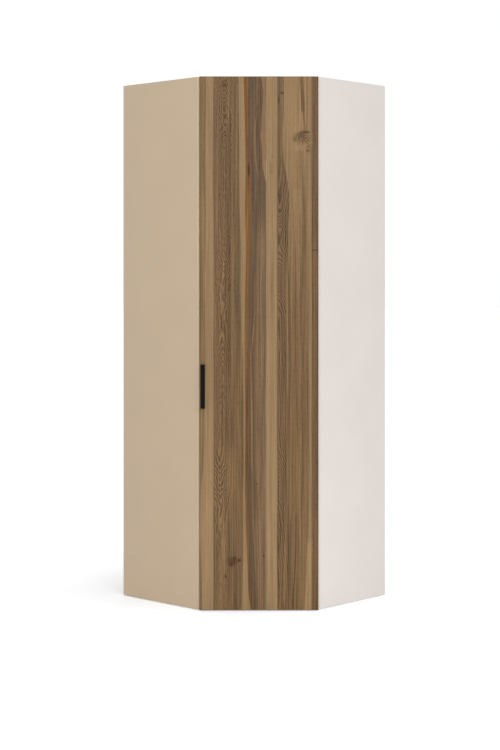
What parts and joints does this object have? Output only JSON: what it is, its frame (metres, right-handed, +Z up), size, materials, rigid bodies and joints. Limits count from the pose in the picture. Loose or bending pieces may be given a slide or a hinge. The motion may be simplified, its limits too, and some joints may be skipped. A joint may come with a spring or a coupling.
{
  "type": "corner wardrobe",
  "caption": "Tall corner wardrobe with a diagonal hinged door between two side panels, a hanging rail, shelves and a bow handle.",
  "frame": {"origin": "on the floor, under the middle of the bounding box", "axes": "+Z up. The wardrobe's room corner is at -X +Y: the left side panel faces -Y, the right side panel faces +X, and the door faces halfway between +X and -Y"},
  "size_m": [0.8082, 0.824, 2.2],
  "materials": {
    "beige_laminate": "melamine-faced chipboard, plain beige, satin",
    "cashmere_laminate": "melamine-faced chipboard, plain pale cashmere, satin",
    "walnut_decor": "board with a staved walnut decor, upright grain, matt",
    "fibreboard": "thin fibreboard, lacquered pale on the inside",
    "black_metal": "powder-coated matt black",
    "nickel_steel": "nickel-plated steel",
    "zinc_steel": "zinc-plated steel",
    "white_plastic": "moulded white plastic",
    "clear_rubber": "clear elastomer dots"
  },
  "bodies": {
    "carcass": {"left_side_panel": "beige_laminate", "right_side_panel": "cashmere_laminate", "top_panel": "beige_laminate", "bottom_panel": "beige_laminate", "hat_shelf": "beige_laminate", "lower_shelf": "beige_laminate", "plinth_front": "beige_laminate", "corner_post_left": "beige_laminate", "corner_post_right": "beige_laminate", "back_sheet_left": "fibreboard", "back_sheet_right": "fibreboard", "glide_left_1": "white_plastic", "glide_left_2": "white_plastic", "glide_right_1": "white_plastic", "glide_right_2": "white_plastic", "glide_post_left": "white_plastic", "glide_post_right": "white_plastic", "hanging_rail": "nickel_steel", "rail_bracket_left": "nickel_steel", "rail_bracket_right": "nickel_steel", "wall_angle_left": "zinc_steel", "wall_angle_right": "zinc_steel", "shelf_peg_left_1": "nickel_steel", "shelf_peg_left_2": "nickel_steel", "shelf_peg_left_3": "nickel_steel", "shelf_peg_right_1": "nickel_steel", "shelf_peg_right_2": "nickel_steel", "shelf_peg_right_3": "nickel_steel", "hinge_arm_1": "nickel_steel", "hinge_arm_2": "nickel_steel", "hinge_arm_3": "nickel_steel", "hinge_arm_4": "nickel_steel", "hinge_plate_1": "nickel_steel", "hinge_plate_2": "nickel_steel", "hinge_plate_3": "nickel_steel", "hinge_plate_4": "nickel_steel"},
    "long_links": {"hinge_long_link_1": "nickel_steel", "hinge_long_link_2": "nickel_steel", "hinge_long_link_3": "nickel_steel", "hinge_long_link_4": "nickel_steel"},
    "short_links": {"hinge_short_link_1": "nickel_steel", "hinge_short_link_2": "nickel_steel", "hinge_short_link_3": "nickel_steel", "hinge_short_link_4": "nickel_steel"},
    "door": {"door_panel": "walnut_decor", "door_handle": "black_metal", "handle_screw_lower": "zinc_steel", "handle_screw_upper": "zinc_steel", "door_bumper_lower": "clear_rubber", "door_bumper_upper": "clear_rubber", "hinge_cup_1": "nickel_steel", "hinge_cup_2": "nickel_steel", "hinge_cup_3": "nickel_steel", "hinge_cup_4": "nickel_steel"}
  },
  "joints": [
    {"name": "long_link_turn", "type": "hinge", "parent": "carcass", "child": "long_links", "pos_m": [0.36551, -0.05304, 0.114], "axis": [0, 0, 1], "range_deg": [-28.75, 0]},
    {"name": "door_swing", "type": "hinge", "parent": "long_links", "child": "door", "pos_m": [0.38914, -0.04915, 0.114], "axis": [0, 0, 1], "range_deg": [0, 123.73]},
    {"name": "short_link_turn", "type": "hinge", "parent": "carcass", "child": "short_links", "pos_m": [0.37287, -0.0695, 0.114], "axis": [0, 0, 1], "range_deg": [-28.8, 0]}
  ],
  "couplings": [
    {"joint": "long_link_turn", "follows": "door_swing", "ratio": -0.23225},
    {"joint": "short_link_turn", "follows": "door_swing", "ratio": -0.23263}
  ]
}
